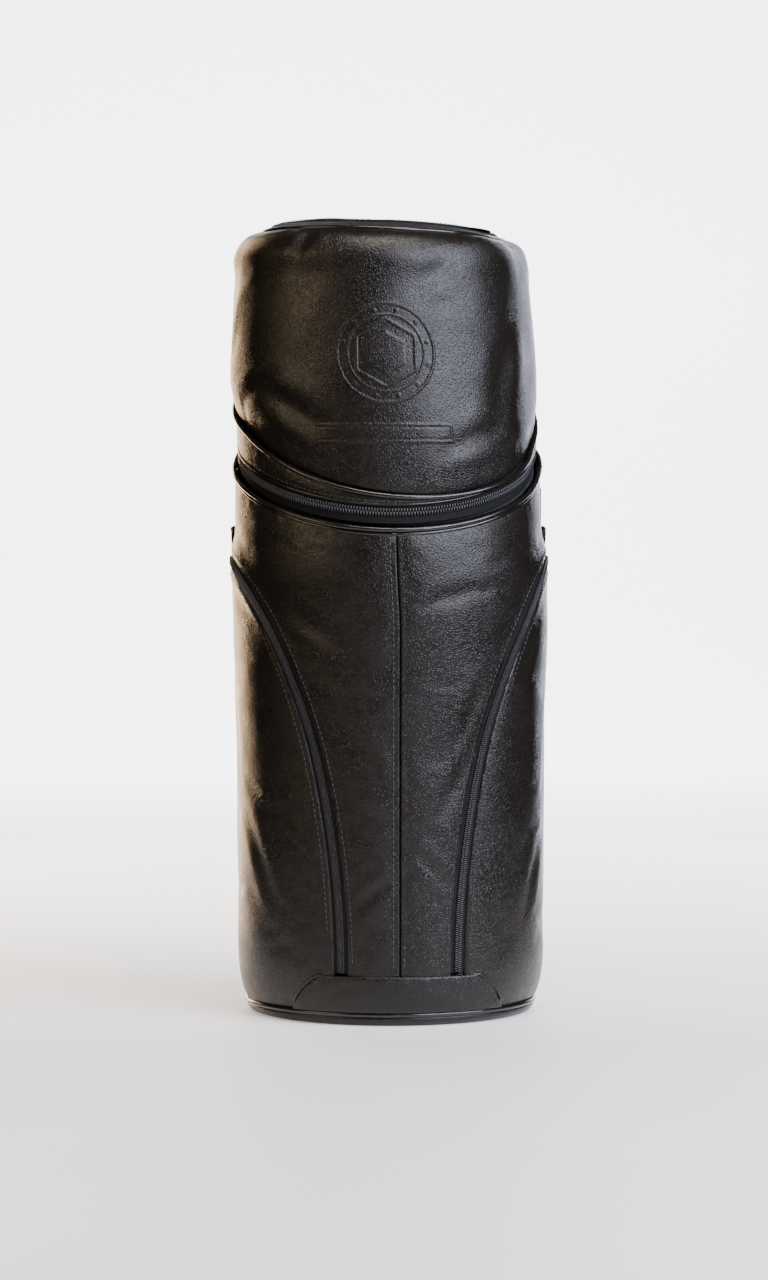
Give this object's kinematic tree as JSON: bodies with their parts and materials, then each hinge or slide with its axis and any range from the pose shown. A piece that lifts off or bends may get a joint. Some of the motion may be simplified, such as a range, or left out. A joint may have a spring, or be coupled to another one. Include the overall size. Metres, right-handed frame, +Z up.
{
  "type": "padded carrying bag",
  "caption": "Round padded carrying bag in black imitation leather, with a slanted zip-round lid, a zipped top flap, two arched side pockets, side rings and a back handle.",
  "frame": {"origin": "centre of the flat base, on the surface that the bag stands on", "axes": "+Z up along the bag, the front seam faces -Y, +X is to the right seen from the front"},
  "size_m": [0.245, 0.249, 0.6],
  "materials": {
    "leather": "satin",
    "piping": "satin",
    "lining": "matte",
    "foam": "matte",
    "board": "matte",
    "zip": "satin",
    "metal": "satin"
  },
  "bodies": {
    "body": {"base_panel": "leather", "base_board": "board", "base_pad": "foam", "base_piping": "piping", "base_patch": "leather", "body_lining": "lining", "wall_foam": "foam", "front_padding": "foam", "back_padding": "foam", "front_panel_left": "leather", "front_panel_right": "leather", "back_panel": "leather", "pocket_liner_left": "lining", "pocket_liner_right": "lining", "pocket_foot_left": "leather", "pocket_foot_right": "leather", "pocket_zip_outer_left": "zip", "pocket_zip_outer_right": "zip", "rim_piping": "piping", "lid_zip_lower": "zip", "hinge_strip": "leather", "handle_tab_left": "leather", "handle_tab_right": "leather", "side_ring_tab_left": "leather", "side_ring_tab_right": "leather"},
    "lid": {"lid_panel": "leather", "lid_foam": "foam", "lid_lining": "lining", "lid_band": "leather", "lid_piping": "piping", "lid_zip_upper": "zip", "top_piping": "piping", "top_zip_lower": "zip", "top_hinge_strip": "leather"},
    "top_flap": {"top_flap_panel": "leather", "top_flap_lining": "lining", "top_zip_upper": "zip"},
    "grab_handle": {"grab_handle": "leather", "handle_ring_left": "metal", "handle_ring_right": "metal"},
    "top_slider": {"top_slider": "metal"},
    "top_pull": {"top_pull": "metal"},
    "pocket_flap_left": {"pocket_flap_left": "leather", "pocket_flap_lining_left": "lining", "pocket_zip_inner_left": "zip"},
    "side_ring_left": {"side_ring_left": "metal"},
    "lid_slider_left": {"lid_slider_left": "metal"},
    "lid_pull_left": {"lid_pull_left": "metal"},
    "pocket_slider_left": {"pocket_slider_left": "metal"},
    "pocket_pull_left": {"pocket_pull_left": "metal"},
    "pocket_flap_right": {"pocket_flap_right": "leather", "pocket_flap_lining_right": "lining", "pocket_zip_inner_right": "zip"},
    "side_ring_right": {"side_ring_right": "metal"},
    "lid_slider_right": {"lid_slider_right": "metal"},
    "lid_pull_right": {"lid_pull_right": "metal"},
    "pocket_slider_right": {"pocket_slider_right": "metal"},
    "pocket_pull_right": {"pocket_pull_right": "metal"}
  },
  "joints": [
    {"name": "lid_hinge", "type": "hinge", "parent": "body", "child": "lid", "pos_m": [0, 0.1135, 0.479], "axis": [-1, 0, 0], "range_deg": [0, 120]},
    {"name": "top_flap_hinge", "type": "hinge", "parent": "lid", "child": "top_flap", "pos_m": [0, 0.084, 0.597], "axis": [-1, 0, 0], "range_deg": [0, 100]},
    {"name": "pocket_flap_left_hinge", "type": "hinge", "parent": "body", "child": "pocket_flap_left", "pos_m": [-0.1185, 0, 0.055], "axis": [0, -1, 0], "range_deg": [0, 35]},
    {"name": "pocket_flap_right_hinge", "type": "hinge", "parent": "body", "child": "pocket_flap_right", "pos_m": [0.1185, 0, 0.055], "axis": [0, 1, 0], "range_deg": [0, 35]},
    {"name": "grab_handle_swing", "type": "hinge", "parent": "body", "child": "grab_handle", "pos_m": [0, 0.1205, 0.432], "axis": [-1, 0, 0], "range_deg": [-150, 0]},
    {"name": "side_ring_left_swing", "type": "hinge", "parent": "body", "child": "side_ring_left", "pos_m": [-0.11726, 0.03142, 0.368], "axis": [0.2588, 0.9659, 0], "range_deg": [0, 100]},
    {"name": "side_ring_right_swing", "type": "hinge", "parent": "body", "child": "side_ring_right", "pos_m": [0.11726, 0.03142, 0.368], "axis": [0.2588, -0.9659, 0], "range_deg": [0, 100]},
    {"name": "lid_slider_left_travel", "type": "hinge", "parent": "body", "child": "lid_slider_left", "pos_m": [0.01087, 0.00315, 0.42982], "axis": [0, -0.3872, 0.922], "range_deg": [0, 10.5]},
    {"name": "lid_slider_right_travel", "type": "hinge", "parent": "body", "child": "lid_slider_right", "pos_m": [-0.01087, 0.00315, 0.42982], "axis": [0, 0.3872, -0.922], "range_deg": [0, 10.5]},
    {"name": "lid_pull_left_swing", "type": "hinge", "parent": "lid_slider_left", "child": "lid_pull_left", "pos_m": [-0.08597, 0.07877, 0.46051], "axis": [0.6454, 0.7043, 0.2958], "range_deg": [0, 100]},
    {"name": "lid_pull_right_swing", "type": "hinge", "parent": "lid_slider_right", "child": "lid_pull_right", "pos_m": [0.08597, 0.07877, 0.46051], "axis": [0.6454, -0.7043, -0.2958], "range_deg": [0, 100]},
    {"name": "top_slider_travel", "type": "hinge", "parent": "lid", "child": "top_slider", "pos_m": [0, 0, 0.595], "axis": [0, 0, -1], "range_deg": [0, 300]},
    {"name": "top_pull_swing", "type": "hinge", "parent": "top_slider", "child": "top_pull", "pos_m": [0.04336, 0.0751, 0.59678], "axis": [0.866, -0.5, 0], "range_deg": [0, 130]},
    {"name": "pocket_slider_left_travel", "type": "slide", "parent": "body", "child": "pocket_slider_left", "axis": [-0.0387, -0.0164, 0.9991], "range_m": [0, 0.04]},
    {"name": "pocket_slider_right_travel", "type": "slide", "parent": "body", "child": "pocket_slider_right", "axis": [0.0387, -0.0164, 0.9991], "range_m": [0, 0.04]},
    {"name": "pocket_pull_left_swing", "type": "hinge", "parent": "pocket_slider_left", "child": "pocket_pull_left", "pos_m": [-0.04537, 0.10936, 0.0472], "axis": [0.9229, 0.3828, 0.0421], "range_deg": [0, 150]},
    {"name": "pocket_pull_right_swing", "type": "hinge", "parent": "pocket_slider_right", "child": "pocket_pull_right", "pos_m": [0.04537, 0.10936, 0.0472], "axis": [0.9229, -0.3828, -0.0421], "range_deg": [0, 150]}
  ]
}
